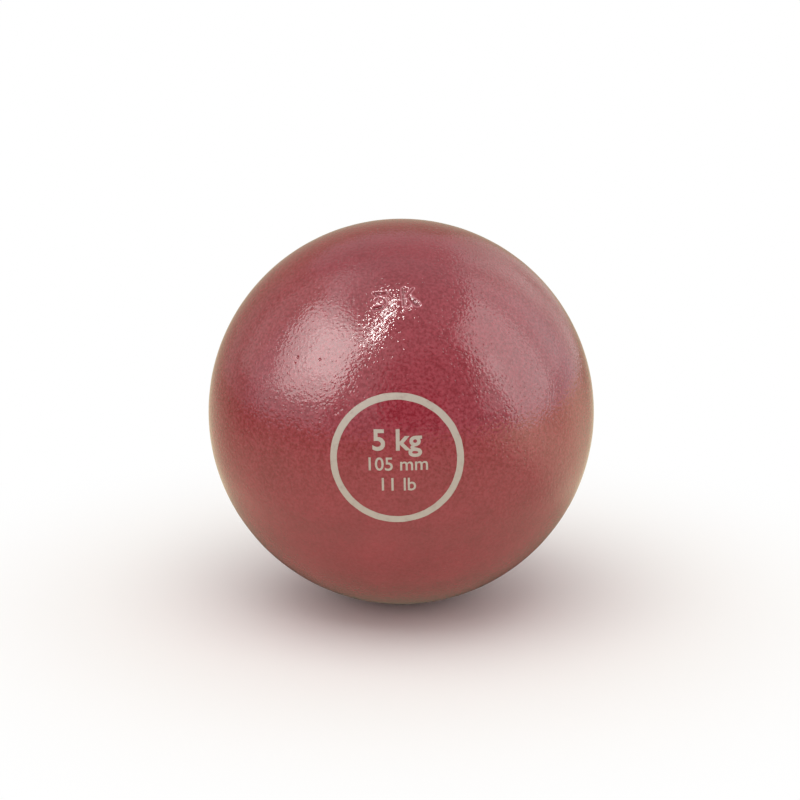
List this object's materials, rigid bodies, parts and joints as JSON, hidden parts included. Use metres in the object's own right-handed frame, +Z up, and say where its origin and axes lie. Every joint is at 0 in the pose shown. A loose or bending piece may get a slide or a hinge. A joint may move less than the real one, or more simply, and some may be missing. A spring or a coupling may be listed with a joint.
{
  "type": "shot put ball",
  "caption": "Round cast-iron shot with painted skin, lead core and a flush screw plug with a hexagon socket in the back.",
  "frame": {"origin": "centre of the ball", "axes": "+Z up; -Y out of the printed face; +Y along the filler hole's axis, out of its mouth"},
  "size_m": [0.105, 0.1045, 0.105],
  "materials": {
    "ball_paint": "glossy dark red paint over a cast skin, with a light grey printed ring",
    "plug_paint": "the same paint over turned steel, thin in the socket",
    "poured_lead": "dull grey poured lead",
    "cut_lead": "brighter, freshly cut lead"
  },
  "bodies": {
    "root": {"shell": "ball_paint", "filler_plug": "plug_paint", "lead_core": "poured_lead", "trim_slug": "cut_lead"}
  },
  "joints": []
}
